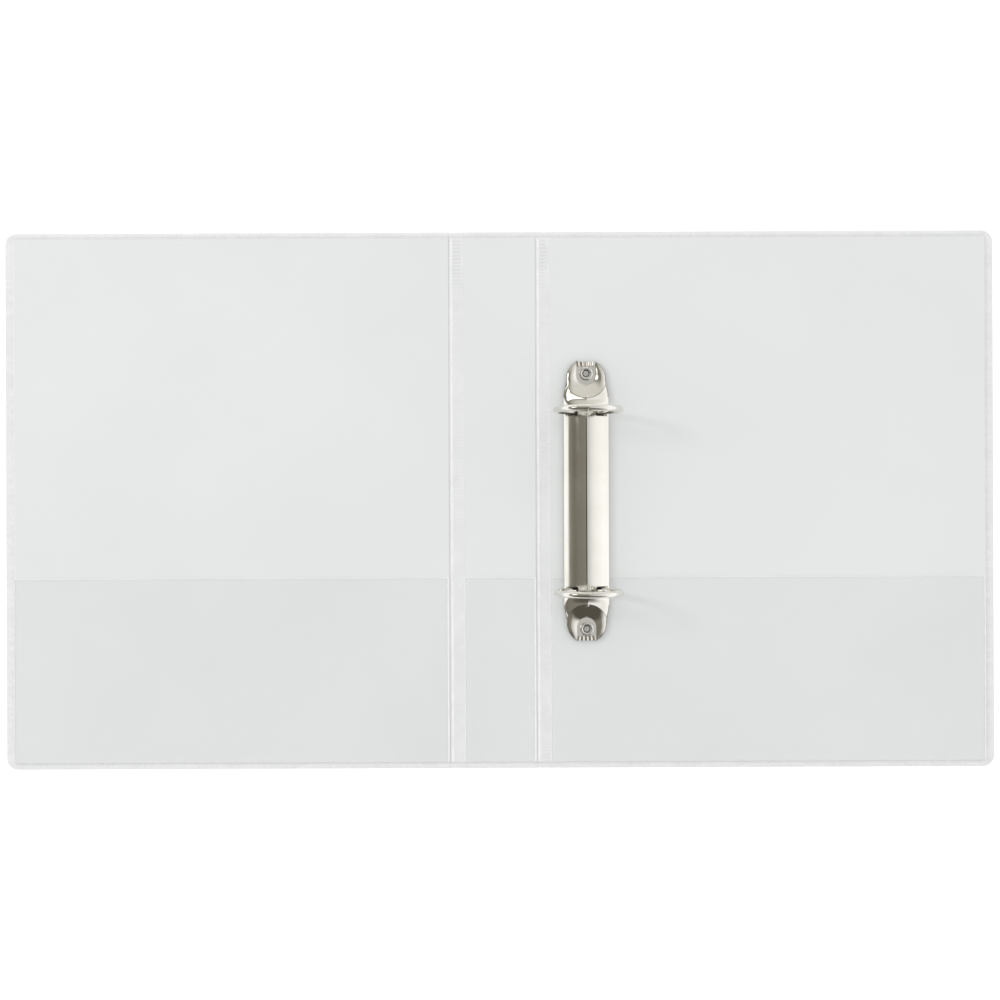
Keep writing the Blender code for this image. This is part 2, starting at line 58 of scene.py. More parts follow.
# Film cover. Heights are above the surface that the binder lies on.
FILM = 0.25 * MM
SIDE_BAND, END_BAND = 3.7 * MM, 2.6 * MM
CORNER_RADIUS = 5.2 * MM
BAND_Z = 1.35 * MM
FOLD_Z = 2.5 * MM
PANEL_Z = 2.86 * MM
SLOPE, FOLD_SLOPE = 0.7 * MM, 0.45 * MM
FOLD_FILM = 0.1 * MM
POCKET_CREASE = 0.3 * MM
RIB_PITCH = 1.6 * MM
HINGE_RIB_DEPTH = 0.32 * MM
LAP = 0.35 * MM
JUST_INSIDE = 0.01 * MM

# Camera and lights.
CAMERA_PLACE = (0.18 * MM, 0.0, 0.6257)
CAMERA_ROLL = math.radians(-0.22)
KEY_FROM = Vector((-0.79, 0.27, 0.62))
KEY_WATTS = 3.0
FILL_LEVEL = 0.94


# --- meshes --------------------------------------------------------------------------------------


def link_object(name, data):
    obj = bpy.data.objects.new(name, data)
    bpy.context.scene.collection.objects.link(obj)
    return obj


def new_object(name, verts, faces):
    mesh = bpy.data.meshes.new(name)
    mesh.from_pydata(np.asarray(verts).tolist(), [], np.asarray(faces).tolist())
    mesh.update()
    obj = link_object(name, mesh)
    shade(obj)
    return obj


def shade(obj, smooth_angle=40.0):
    obj.data.shade_smooth()
    obj.data.set_sharp_from_angle(angle=math.radians(smooth_angle))


def face_outwards(mesh, merge=0.0):
    """Turns all faces outwards, after merging points closer than a given distance."""
    edited = bmesh.new()
    edited.from_mesh(mesh)
    if merge:
        bmesh.ops.remove_doubles(edited, verts=edited.verts, dist=merge)
    bmesh.ops.recalc_face_normals(edited, faces=edited.faces)
    edited.to_mesh(mesh)
    edited.free()


def closed_sheet(name, top, low_z):
    """A film: a grid of top points, the lower points straight below it, and the walls between."""
    rows, columns = top.shape[:2]
    low = top.copy()
    low[..., 2] = low_z
    count = rows * columns
    index = np.arange(count).reshape(rows, columns)
    a, b = index[:-1, :-1], index[:-1, 1:]
    c, d = index[1:, 1:], index[1:, :-1]
    upper = np.stack([a, b, c, d], -1).reshape(-1, 4)
    lower = np.stack([d, c, b, a], -1).reshape(-1, 4) + count
    border = np.concatenate([index[0, :-1], index[:-1, -1], index[-1, :0:-1], index[:0:-1, 0]])
    after = np.roll(border, -1)
    walls = np.stack([after, border, border + count, after + count], -1)
    verts = np.concatenate([top.reshape(-1, 3), low.reshape(-1, 3)])
    return new_object(name, verts, np.concatenate([upper, lower, walls]))


def lines(*stretches):
    """Grid lines from (start, end, step) stretches, without doubles."""
    values = []
    for start, end, step in stretches:
        count = max(1, round(abs(end - start) / step))
        values.append(np.linspace(start, end, count + 1))
    merged = np.sort(np.concatenate(values))
    return merged[np.concatenate([[True], np.diff(merged) > 1e-6])]


def ramp(value, start, end):
    t = np.clip((value - start) / (end - start), 0.0, 1.0)
    return t * t * (3 - 2 * t)


def smooth_min(a, b, reach):
    h = np.clip(0.5 + 0.5 * (b - a) / reach, 0.0, 1.0)
    return b * (1 - h) + a * h - reach * h * (1 - h)


def apply_modifiers(obj):
    bpy.context.view_layer.update()
    graph = bpy.context.evaluated_depsgraph_get()
    old = obj.data
    obj.data = bpy.data.meshes.new_from_object(obj.evaluated_get(graph))
    obj.modifiers.clear()
    bpy.data.meshes.remove(old)


def cut(obj, tools, operation="DIFFERENCE"):
    for tool in tools:
        modifier = obj.modifiers.new("cut", "BOOLEAN")
        modifier.operation = operation
        modifier.object = tool
    apply_modifiers(obj)
    for tool in tools:
        bpy.data.objects.remove(tool, do_unlink=True)


def cylinder(radius, low, high, place):
    mesh = bpy.data.meshes.new("tool")
    edited = bmesh.new()
    bmesh.ops.create_cone(
        edited, cap_ends=True, segments=48, radius1=radius, radius2=radius, depth=high - low
    )
    bmesh.ops.translate(edited, vec=(place[0], place[1], (low + high) / 2), verts=edited.verts)
    edited.to_mesh(mesh)
    edited.free()
    return link_object("tool", mesh)


def prism(outline, low, high):
    """An upright block with the given outline, anticlockwise from above."""
    count = len(outline)
    verts = [(x, y, z) for z in (low, high) for x, y in outline]
    mesh = bpy.data.meshes.new("tool")
    sides = [(i, (i + 1) % count, (i + 1) % count + count, i + count) for i in range(count)]
    mesh.from_pydata(verts, [], [tuple(reversed(range(count))), tuple(range(count, 2 * count))] + sides)
    return link_object("tool", mesh)


# --- materials -----------------------------------------------------------------------------------


class Look:
    """A Principled material with patterns in object space, built up by short calls."""

    def __init__(self, name, colour, roughness, metallic=0.0):
        self.material = bpy.data.materials.new(name)
        self.material.use_nodes = True
        self.tree = self.material.node_tree
        self.shader = self.tree.nodes["Principled BSDF"]
        self.set("Base Color", (*colour, 1.0))
        self.set("Roughness", roughness)
        self.set("Metallic", metallic)
        self.normal = None
        self.place = self.tree.nodes.new("ShaderNodeTexCoord").outputs["Object"]

    def set(self, socket, value):
        self.shader.inputs[socket].default_value = value

    def node(self, kind, **inputs):
        made = self.tree.nodes.new(kind)
        for name, value in inputs.items():
            made.inputs[name.replace("_", " ")].default_value = value
        return made

    def noise(self, scale, detail, stretch=(1, 1, 1)):
        mapping = self.node("ShaderNodeMapping")
        mapping.inputs["Scale"].default_value = stretch
        texture = self.node("ShaderNodeTexNoise", Scale=scale, Detail=detail)
        self.tree.links.new(self.place, mapping.inputs["Vector"])
        self.tree.links.new(mapping.outputs["Vector"], texture.inputs["Vector"])
        return texture.outputs["Fac"]

    def spread(self, value, low, high, to_low, to_high):
        span = self.node("ShaderNodeMapRange")
        for name, number in zip(("From Min", "From Max", "To Min", "To Max"), (low, high, to_low, to_high)):
            span.inputs[name].default_value = number
        self.tree.links.new(value, span.inputs["Value"])
        return span.outputs["Result"]

    def blend_colour(self, value, first, second):
        """Base colour that runs from one colour to another as the pattern rises."""
        ramp_node = self.node("ShaderNodeValToRGB")
        stops = ramp_node.color_ramp.elements
        stops[0].position, stops[1].position = 0.35, 0.65
        stops[0].color, stops[1].color = (*first, 1.0), (*second, 1.0)
        self.tree.links.new(value, ramp_node.inputs["Fac"])
        self.tree.links.new(ramp_node.outputs["Color"], self.shader.inputs["Base Color"])

    def drive(self, socket, value):
        self.tree.links.new(value, self.shader.inputs[socket])

    def bump(self, height, depth, strength):
        node = self.node("ShaderNodeBump", Strength=strength, Distance=depth)
        self.tree.links.new(height, node.inputs["Height"])
        if self.normal:
            self.tree.links.new(self.normal, node.inputs["Normal"])
        self.normal = node.outputs["Normal"]
        self.tree.links.new(self.normal, self.shader.inputs["Normal"])


def white_film():
    """The smooth film of the panels, with a faint grain and slow waves."""
    look = Look("white_film", (0.79, 0.806, 0.799), 0.34)
    look.blend_colour(look.noise(9.0, 3.0), (0.775, 0.791, 0.784), (0.800, 0.816, 0.809))
    look.drive("Roughness", look.spread(look.noise(60.0, 3.0), 0.3, 0.7, 0.30, 0.40))
    look.bump(look.noise(1400.0, 2.0), 0.02 * MM, 0.25)
    look.bump(look.noise(45.0, 2.0), 0.15 * MM, 0.25)
    return look.material


def weld_film():
    """Where films are welded together: neutral, a little clearer and glossier, with fine streaks."""
    look = Look("weld_film", (0.815, 0.815, 0.815), 0.25)
    look.blend_colour(look.noise(330.0, 4.0, (0.35, 1.0, 1.0)), (0.795, 0.795, 0.795), (0.84, 0.84, 0.84))
    look.drive("Roughness", look.spread(look.noise(500.0, 2.0), 0.3, 0.7, 0.18, 0.34))
    look.bump(look.noise(700.0, 3.0), 0.05 * MM, 0.5)
    return look.material


def weld_highlight():
    """A bead of film squeezed out along a weld, painted lighter as a highlight for the light it catches."""
    look = Look("weld_highlight", (0.89, 0.90, 0.895), 0.2)
    look.blend_colour(look.noise(260.0, 3.0), (0.85, 0.86, 0.855), (0.92, 0.925, 0.92))
    look.drive("Roughness", look.spread(look.noise(400.0, 2.0), 0.3, 0.7, 0.14, 0.28))
    look.bump(look.noise(500.0, 2.0), 0.03 * MM, 0.4)
    return look.material


def rib_film():
    """Film of the hinges. Its grooves, one in each pitch, look a little darker than its ribs."""
    look = Look("rib_film", (0.80, 0.80, 0.80), 0.28)
    look.blend_colour(look.noise(120.0, 4.0), (0.775, 0.785, 0.78), (0.815, 0.825, 0.82))
    look.drive("Roughness", look.spread(look.noise(90.0, 3.0), 0.3, 0.7, 0.22, 0.36))
    look.bump(look.noise(900.0, 2.0), 0.03 * MM, 0.4)
    return look.material


def clear_film(name="clear_film", tint=(0.70, 0.715, 0.71), alpha=0.05):
    look = Look(name, tint, 0.16)
    look.blend_colour(look.noise(14.0, 3.0), tint, tuple(c + 0.05 for c in tint))
    look.drive("Roughness", look.spread(look.noise(35.0, 3.0), 0.3, 0.7, 0.10, 0.22))
    look.bump(look.noise(30.0, 2.0), 0.2 * MM, 0.2)
    look.set("Alpha", alpha)
    return look.material


def film_edge_highlight():
    """Painted highlight on the cut edge of a clear film: nearly white, for the light the edge gathers."""
    look = Look("film_edge_highlight", (0.88, 0.89, 0.885), 0.25)
    look.blend_colour(look.noise(160.0, 3.0), (0.85, 0.86, 0.855), (0.91, 0.92, 0.915))
    look.drive("Roughness", look.spread(look.noise(90.0, 2.0), 0.3, 0.7, 0.18, 0.30))
    return look.material


def nickel(name="nickel", smoothest=0.05, roughest=0.13):
    look = Look(name, (0.80, 0.785, 0.745), smoothest, 1.0)
    look.blend_colour(look.noise(55.0, 3.0), (0.77, 0.755, 0.71), (0.83, 0.82, 0.785))
    look.drive("Roughness", look.spread(look.noise(90.0, 4.0), 0.3, 0.7, smoothest, roughest))
    look.bump(look.noise(1200.0, 2.0, (1.0, 0.06, 1.0)), 0.004 * MM, 0.5)
    look.bump(look.noise(160.0, 2.0), 0.02 * MM, 0.25)
    return look.material


def edge_shade():
    """Painted shade and reflection: the cut edges of the sheet metal and of the pressed dish, dull and dark.
    """
    look = Look("edge_shade", (0.30, 0.285, 0.26), 0.4, 1.0)
    look.blend_colour(look.noise(400.0, 3.0), (0.20, 0.19, 0.17), (0.42, 0.40, 0.37))
    look.drive("Roughness", look.spread(look.noise(500.0, 2.0), 0.3, 0.7, 0.3, 0.5))
    look.bump(look.noise(900.0, 2.0), 0.02 * MM, 0.5)
    return look.material


def rivet_steel():
    look = Look("rivet_steel", (0.80, 0.80, 0.79), 0.25, 1.0)
    look.blend_colour(look.noise(900.0, 3.0), (0.72, 0.72, 0.71), (0.88, 0.88, 0.87))
    look.drive("Roughness", look.spread(look.noise(700.0, 3.0), 0.3, 0.7, 0.16, 0.36))
    look.bump(look.noise(1500.0, 3.0), 0.03 * MM, 0.5)
    return look.material


def blade_steel():
    look = Look("blade_steel", (0.36, 0.35, 0.33), 0.35, 1.0)
    look.blend_colour(look.noise(120.0, 4.0), (0.28, 0.27, 0.26), (0.44, 0.43, 0.41))
    look.drive("Roughness", look.spread(look.noise(200.0, 3.0), 0.3, 0.7, 0.28, 0.45))
    look.bump(look.noise(900.0, 2.0, (1.0, 0.05, 1.0)), 0.02 * MM, 0.6)
    return look.material


def grey_board():
    look = Look("grey_board", (0.52, 0.50, 0.46), 0.9)
    look.blend_colour(look.noise(600.0, 6.0), (0.42, 0.40, 0.37), (0.60, 0.58, 0.54))
    look.drive("Roughness", look.spread(look.noise(300.0, 3.0), 0.3, 0.7, 0.85, 0.97))
    look.bump(look.noise(900.0, 5.0), 0.06 * MM, 0.6)
    return look.material


def pale_floor():
    look = Look("pale_floor", (0.93, 0.93, 0.93), 0.9)
    look.set("Emission Color", (1.0, 1.0, 1.0, 1.0))
    look.set("Emission Strength", 0.35)
    return look.material


# --- film cover ----------------------------------------------------------------------------------


class Panel:
    """A stiff panel of the cover: its outline from the CAD liner, and how each side edge is made.

    An outer side has a weld band. A side at a hinge has none, and its film stays near the top.
    """

    def __init__(self, name, body, outer_side):
        low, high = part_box(f"{name}_inner_liner")
        self.name, self.body = name, body
        self.left, self.right, self.half_height = low.x, high.x, high.y
        welded, folded = (SIDE_BAND, BAND_Z, SLOPE), (0.0, FOLD_Z, FOLD_SLOPE)
        self.left_edge = welded if outer_side == "left" else folded
        self.right_edge = welded if outer_side == "right" else folded

    def grid(self, x_lines, y_lines):
        x, y = np.meshgrid(x_lines, y_lines)
        return np.stack([x, y, np.zeros_like(x)], -1)

    def round_corners(self, points):
        """Pulls the square outer corners of a grid in to arcs, and leaves the rest where it is."""
        for side, band, edge in ((-1, self.left_edge[0], self.left), (1, self.right_edge[0], self.right)):
            if band == 0.0:
                continue
            for end in (-1, 1):
                x0, y0 = edge - side * CORNER_RADIUS, end * (self.half_height - CORNER_RADIUS)
                a = (points[..., 0] - x0) * side / CORNER_RADIUS
                b = (points[..., 1] - y0) * end / CORNER_RADIUS
                inside = (a > 0) & (b > 0)
                round_x = x0 + side * CORNER_RADIUS * a * np.sqrt(np.clip(1 - b * b / 2, 0, 1))
                round_y = y0 + end * CORNER_RADIUS * b * np.sqrt(np.clip(1 - a * a / 2, 0, 1))
                points[..., 0] = np.where(inside, round_x, points[..., 0])
                points[..., 1] = np.where(inside, round_y, points[..., 1])
        return points

    def distances(self, x, y):
        return x - self.left, self.right - x, self.half_height - np.abs(y)

    def inner_height(self, x, y):
        """Top of the inner film: weld bands, the climb up the board's edge, and a nearly flat panel."""
        to_left, to_right, to_end = self.distances(x, y)
        sides = smooth_min(climb(to_left, *self.left_edge), climb(to_right, *self.right_edge), 0.2 * MM)
        height = smooth_min(sides, climb(to_end, END_BAND, BAND_Z, SLOPE) + end_bead(to_end), 0.2 * MM)
        inside = ramp(np.minimum(np.minimum(to_left, to_right), to_end), 6 * MM, 30 * MM)
        height = height + inside * film_wave(x, y) + self.band_ribs(to_left, to_right, y)
        return height - self.pocket_crease(x, y)

    def pocket_crease(self, x, y):
        """The weld of the pocket film down the left side of a panel that starts at a hinge."""
        if self.left_edge[0]:
            return 0.0
        _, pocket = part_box(f"{self.name}_inner_pocket")
        beside = np.exp(-(((x - self.left - 0.55 * MM) / (0.28 * MM)) ** 2))
        below_top = 1 - ramp(y, pocket.y - 0.4 * MM, pocket.y)
        return POCKET_CREASE * beside * below_top * (y > END_BAND - self.half_height)

    def band_ribs(self, to_left, to_right, y):
        """Cross ribs of the welding tool on the wide side bands, pressed unevenly along the edge."""
        press = 0.5 + 0.5 * np.sin(y * 37.0 + 2.0 * np.sin(y * 61.0 + 0.7))
        total = 0.0
        for distance, band in ((to_left, self.left_edge[0]), (to_right, self.right_edge[0])):
            if band:
                start = ramp(distance, 0.5 * MM, 0.9 * MM)
                across = start * (1 - ramp(distance, band - 1.1 * MM, band - 0.6 * MM))
                total = total - 0.13 * MM * press * across * groove(y)
        return total

    def zones(self, points):
        """Material of each grid point: 0 film, 1 weld band, 2 painted highlight at a side band's inner edge.
        """
        to_left, to_right, to_end = self.distances(points[..., 0], points[..., 1])
        zone = np.zeros(points.shape[:2], int)
        zone[to_end < END_BAND] = 1
        for distance, band in ((to_left, self.left_edge[0]), (to_right, self.right_edge[0])):
            zone[distance < band] = 1
            if band:
                # Painted highlight: the slope at the inner edge of a side band takes the lighter bead
                # colour, for the light it catches.
                on_slope = (distance > band - 0.15 * MM) & (distance < band + SLOPE)
                zone[on_slope & (to_end > END_BAND)] = 2
        return zone


def climb(distance, band, low_z, slope):
    """Height of the inner film at a distance from the panel's edge."""
    rounded = low_z - (0.2 if band else 0.05) * MM * (1 - ramp(distance, 0.0, 0.35 * MM))
    crease = -0.08 * MM * np.exp(-(((distance - band + 0.25 * MM) / (0.3 * MM)) ** 2)) * (band > 0)
    return rounded + crease + (PANEL_Z - low_z) * ramp(distance, band, band + slope)


def end_bead(distance):
    """The weld along the top and bottom edges stands up in a soft roll."""
    return 0.3 * MM * np.exp(-(((distance - 1.3 * MM) / (0.75 * MM)) ** 2))


def groove(y):
    """One narrow groove in each pitch of the welding tool, 1 at its bottom."""
    phase = np.abs((y / RIB_PITCH) % 1.0 - 0.5)
    return np.exp(-((phase / 0.17) ** 2))


def film_wave(x, y):
    """Shallow, slow waves of film stretched over board."""
    total = np.sin(x * 61.0 + 1.3 * np.sin(y * 34.0) + 0.4) * np.cos(y * 47.0 + 0.9 * np.sin(x * 27.0))
    total += 0.6 * np.sin(x * 23.0 - y * 31.0 + 2.1) + 0.35 * np.sin(x * 104.0 + y * 83.0)
    return 0.035 * MM * total


def edge_lines(edge, inward, band):
    """Grid lines across one edge: fine over the edge, the weld band and the climb."""
    marks = [0.0, 0.4 * MM, max(band - 0.6 * MM, 0.45 * MM), band + SLOPE + 0.3 * MM, band + 6 * MM]
    steps = (0.1 * MM, 0.4 * MM, 0.1 * MM, 1.2 * MM)
    return [(edge + inward * a, edge + inward * b, step) for a, b, step in zip(marks, marks[1:], steps)]


def inner_film(panel, materials):
    left_band, right_band = panel.left_edge[0], panel.right_edge[0]
    x_lines = lines(
        *edge_lines(panel.left, 1, left_band),
        *edge_lines(panel.right, -1, right_band),
        (panel.left + left_band + 6 * MM, panel.right - right_band - 6 * MM, 6 * MM),
    )
    y_lines = lines(
        *edge_lines(-panel.half_height, 1, END_BAND),
        *edge_lines(panel.half_height, -1, END_BAND),
        (-panel.half_height + END_BAND, panel.half_height - END_BAND, RIB_PITCH / 4),
    )
    points = panel.grid(x_lines, y_lines)
    points[..., 2] = panel.inner_height(points[..., 0], points[..., 1])
    zone = panel.zones(points)
    to_left, to_right, _ = panel.distances(points[..., 0], points[..., 1])
    to_fold = np.minimum(to_left + left_band, to_right + right_band)
    film_here = FOLD_FILM + (FILM - FOLD_FILM) * ramp(to_fold, 0.4 * MM, 1.2 * MM)
    thickness = np.where(points[..., 2] < BAND_Z + 0.4 * MM, points[..., 2] - 0.64 * MM, film_here)
    film = closed_sheet(f"{panel.name}_inner_film", panel.round_corners(points), points[..., 2] - thickness)
    paint(film, zone, materials)
    finish_piece(film, panel.body, "white_film", f"{panel.name}_inner_liner")


def paint(film, zone, materials):
    """Gives each face of a closed sheet, above and below, the material of its first grid point."""
    for material in materials:
        film.data.materials.append(material)
    flat = np.concatenate([zone.reshape(-1), zone.reshape(-1)])
    faces = [int(min(flat[v] for v in polygon.vertices)) for polygon in film.data.polygons]
    film.data.polygons.foreach_set("material_index", faces)


def finish_piece(obj, body, slot, *nodes):
    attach(obj, body)
    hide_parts(*nodes)


def pocket_film(panel, clear, edge):
    """A clear strip welded along its sides and bottom, open at the top. Its cut edges carry a painted
    highlight.
    """
    _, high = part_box(f"{panel.name}_inner_pocket")
    lap = 0.3 * MM
    left, right = panel.left + panel.left_edge[0] + lap, panel.right - panel.right_edge[0] - lap
    bottom, top = -panel.half_height + END_BAND + lap, high.y
    x_lines = lines(
        (left, left + 2 * MM, 0.15 * MM),
        (right - 2 * MM, right, 0.15 * MM),
        (left + 2 * MM, right - 2 * MM, 3 * MM),
    )
    y_lines = lines(
        (bottom, bottom + 2 * MM, 0.15 * MM),
        (bottom + 2 * MM, top - MM, 3 * MM),
        (top - MM, top, 0.1 * MM),
    )
    points = panel.grid(x_lines, y_lines)
    x, y = points[..., 0], points[..., 1]
    inside = ramp(np.minimum(np.minimum(x - left, right - x), y - bottom), 0.3 * MM, 20 * MM)
    slack = 0.08 * MM * (1 + np.sin(x * 90.0 + 1.0)) * inside
    points[..., 2] = panel.inner_height(x, y) + 0.12 * MM + slack
    # Painted highlight: faces along the top and side edges take the nearly white edge colour.
    zone = (y > top - 0.45 * MM) | (x < left + 0.6 * MM) | (x > right - 0.9 * MM)
    film = closed_sheet(f"{panel.name}_pocket_film", points, points[..., 2] - 0.07 * MM)
    paint(film, zone.astype(int), (clear, edge))
    finish_piece(film, panel.body, "clear_film", f"{panel.name}_inner_pocket")


def frame_lines(low, high, border, fine, coarse):
    """Grid lines that are fine along both borders."""
    inner_low, inner_high = low + border, high - border
    return lines((low, inner_low, fine), (inner_high, high, fine), (inner_low, inner_high, coarse))


def outer_film(panel, white, weld):
    """The outside of a panel. Its film bends up at a hinge, to meet the hinge film."""
    low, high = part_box(f"{panel.name}_outer_film")
    x_lines = frame_lines(panel.left, panel.right, 3 * MM, 0.2 * MM, 6 * MM)
    y_lines = frame_lines(-panel.half_height, panel.half_height, 3 * MM, 0.3 * MM, 6 * MM)
    points = panel.grid(x_lines, y_lines)
    to_left, to_right, to_end = panel.distances(points[..., 0], points[..., 1])
    lift = 0.0
    for distance, band in ((to_left, panel.left_edge[0]), (to_right, panel.right_edge[0])):
        if band == 0.0:
            rise = ramp(to_end, END_BAND, END_BAND + 1.5 * MM)
            lift = lift + 1.15 * MM * rise * (1 - ramp(distance, 0.0, 1.5 * MM))
    points[..., 2] = high.z + lift
    on_band = (to_end < END_BAND) | (to_left < panel.left_edge[0]) | (to_right < panel.right_edge[0])
    film = closed_sheet(f"{panel.name}_outer_skin", panel.round_corners(points), low.z + lift)
    paint(film, on_band.astype(int), (white, weld))
    return film


def overlay_film(panel, clear, edge):
    """The clear sleeve on the outside: welded at three sides, open along the top."""
    low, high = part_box(f"{panel.name}_outer_overlay")
    x_lines = frame_lines(low.x, high.x, 4 * MM, 0.4 * MM, 6 * MM)
    y_lines = frame_lines(low.y, high.y, 4 * MM, 0.4 * MM, 6 * MM)
    points = panel.grid(x_lines, y_lines)
    points[..., 2] = high.z
    border = np.minimum(points[..., 0] - low.x, high.x - points[..., 0])
    border = np.minimum(border, high.y - points[..., 1])
    film = closed_sheet(f"{panel.name}_sleeve_film", panel.round_corners(points), low.z)
    # Painted highlight: the faces along the sides and top of the sleeve take the nearly white edge colour.
    paint(film, (border < 0.7 * MM).astype(int), (clear, edge))
    return film


def hinge_grid(start, end, half_height):
    fine_start, fine_end = start + 2.2 * MM, end - 1.2 * MM
    x_lines = lines(
        (start, fine_start, 0.1 * MM),
        (fine_start, fine_end, 0.3 * MM),
        (fine_end, end, 0.1 * MM),
    )
    return np.meshgrid(x_lines, lines((-half_height, half_height, RIB_PITCH / 6)))


def hinge_ribs(x, y, to_end, start, end):
    """Depth of the cross ribs pressed between start and end, deepest near the ends of the hinge."""
    press = 0.45 + 0.55 * np.exp(-(((to_end - 9 * MM) / (12 * MM)) ** 2)) + 0.25 * np.sin(y * 71.0 + 0.6)
    across = ramp(x, start, start + 0.3 * MM) * (1 - ramp(x, end - 0.6 * MM, end - 0.2 * MM))
    return HINGE_RIB_DEPTH * press * across * groove(y)


def hinge_film(name, node, panel_a, panel_b, low_press, materials):
    """The strip between two panels: tucked under both, with a weld bead and a band of cross ribs."""
    web_low, web_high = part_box(node)
    half_height = panel_a.half_height - 0.1 * MM
    x, y = hinge_grid(panel_a.right - LAP, panel_b.left + LAP, half_height)
    edge_z = panel_a.inner_height(np.full_like(x, panel_a.right - JUST_INSIDE), y)
    over_z = panel_b.inner_height(np.maximum(x, panel_b.left + JUST_INSIDE), y) + 0.05 * MM
    tuck = 1 - ramp(x, panel_a.right, panel_a.right + 0.3 * MM)
    over = ramp(x, panel_b.left - 0.8 * MM, panel_b.left - 0.1 * MM)
    to_end = half_height - np.abs(y)
    inside = ramp(to_end, 1.5 * MM, 4 * MM)
    bead = 0.16 * MM * np.exp(-(((x - web_low.x - 0.2 * MM) / (0.4 * MM)) ** 2)) * inside
    pocket_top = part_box(f"{panel_a.name}_inner_pocket")[1].y
    weaker_below = low_press + (1 - low_press) * ramp(y, pocket_top, -20 * MM)
    ribs = hinge_ribs(x, y, to_end, web_low.x + 0.9 * MM, web_high.x - 0.2 * MM) * inside * weaker_below
    plateau = edge_z - 0.02 * MM - (FOLD_FILM + 0.05 * MM) * tuck
    z = plateau * (1 - over) + over_z * over + bead - ribs
    zone = np.zeros(x.shape, int)
    # Painted highlight: faces over the weld bead take the lighter bead colour, for the light the bead
    # catches.
    zone[np.abs(x - web_low.x - 0.25 * MM) < 0.5 * MM] = 2
    zone[to_end < END_BAND] = 1
    thickness = np.where(x > panel_b.left - 0.4 * MM, 0.12 * MM, 0.35 * MM)
    film = closed_sheet(name, np.stack([x, y, z], -1), z - thickness)
    paint(film, zone, materials)
    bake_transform(film)
    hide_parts(node)


def rivet_centres():
    places = []
    for name in ("upper_rivet", "lower_rivet"):
        low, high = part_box(name)
        places.append(((low.x + high.x) / 2, (low.y + high.y) / 2))
    return places


def make_cover():
    # Painted highlights: the lighter weld bead colour and the nearly white colour of the films' cut edges.
    white, weld, bead_highlight, ribbed = white_film(), weld_film(), weld_highlight(), rib_film()
    clear, edge = clear_film(), film_edge_highlight()
    sleeve = clear_film("sleeve_film", (0.76, 0.775, 0.77), 0.10)
    front = Panel("front", "front_cover", "left")
    spine = Panel("spine", "spine", None)
    back = Panel("back", "back_cover", "right")
    for panel in (front, spine, back):
        inner_film(panel, (white, weld, bead_highlight))
        pocket_film(panel, clear, edge)
        skin, overlay = outer_film(panel, white, weld), overlay_film(panel, sleeve, edge)
        if panel is back:
            head_low, head_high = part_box("upper_rivet")
            radius = (head_high.x - head_low.x) / 2 + 0.2 * MM
            for film in (skin, overlay):
                cut(film, [cylinder(radius, -MM, MM, place) for place in rivet_centres()])
                shade(film)
        finish_piece(skin, panel.body, "white_film", f"{panel.name}_outer_film")
        finish_piece(overlay, panel.body, "clear_film", f"{panel.name}_outer_overlay")
    hinge_film("front_hinge_film", "front_hinge_web", front, spine, 0.3, (ribbed, weld, bead_highlight))
    hinge_film("back_hinge_film", "back_hinge_web", spine, back, 0.9, (ribbed, weld, bead_highlight))
    board = grey_board()
    for panel in (front, spine, back):
        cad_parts[f"{panel.name}_board"].data.materials.clear()
        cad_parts[f"{panel.name}_board"].data.materials.append(board)


# --- ring housing --------------------------------------------------------------------------------

WALL = 0.75 * MM
LIP_Z = 2.0 * MM
ARCH_POWER = 1.6
KNEE_SLOPE, SIDE_SLOPE, KNEE_LIP_Z = 0.44, 0.86, 1.5 * MM
CREASE_DROP = 1.3 * MM
SEAT_Z, SEAT_RADIUS = 1.2 * MM, 4.4 * MM
SEAT_SHIFT, DISH_SHIFT = 0.8 * MM, 1.9 * MM
DISH_RADIUS = 9.3 * MM
EDGE_BAND = 0.3 * MM
NOTCH_START, NOTCH_HALF_WIDTH, NOTCH_CORNER, NOTCH_FLOOR = 4.0 * MM, 2.15 * MM, 0.8 * MM, 2.6 * MM
RIVET_HOLE = 2.25 * MM
END_RADIUS = 8.8 * MM
END_TO_CENTRE = 7.7 * MM
TAPER_START = 46.5 * MM
CREASE_SPAN, KNEE_SPAN = (30 * MM, 50 * MM), (41 * MM, 46 * MM)
RIB_SPAN, RIB_WIDTH, RIB_DEPTH, RIB_REACH = (3.1 * MM, 3.7 * MM), 1.5 * MM, 0.16 * MM, 3.6 * MM


def housing_size():
    low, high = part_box("ring_housing")
    centre = Vector(((low.x + high.x) / 2, (low.y + high.y) / 2, low.z))
    return centre, (high.x - low.x) / 2, (high.y - low.y) / 2, high.z - low.z


def outline_half_width(y, half_width, half_length):
    """Half width of the housing at a distance y from its middle: straight, tapered, then round."""
    turn_y = half_length - END_TO_CENTRE
    straight = half_width + (END_RADIUS - half_width) * ramp(y, TAPER_START, turn_y)
    round_end = np.sqrt(np.clip(END_RADIUS**2 - np.clip(y - turn_y, 0, None) ** 2, 0, None))
    return np.where(y > turn_y, round_end, straight)


def roof_height(x, y, width, height):
    """The arch with its crease. Towards the ends its sides straighten and meet the top in a soft knee."""
    reach = np.sqrt(np.clip(np.abs(x) / width, 0, 1) ** 2 + 0.02**2)
    arch = LIP_Z + (height - LIP_Z) * (1 - np.clip(reach, 0, 1) ** ARCH_POWER)
    top = height - CREASE_DROP * ramp(y, *CREASE_SPAN) - KNEE_SLOPE * width * reach
    side = KNEE_LIP_Z + SIDE_SLOPE * width * (1 - reach)
    knee = smooth_min(top, side, 0.6 * MM)
    share = ramp(y, *KNEE_SPAN)
    return arch * (1 - share) + knee * share


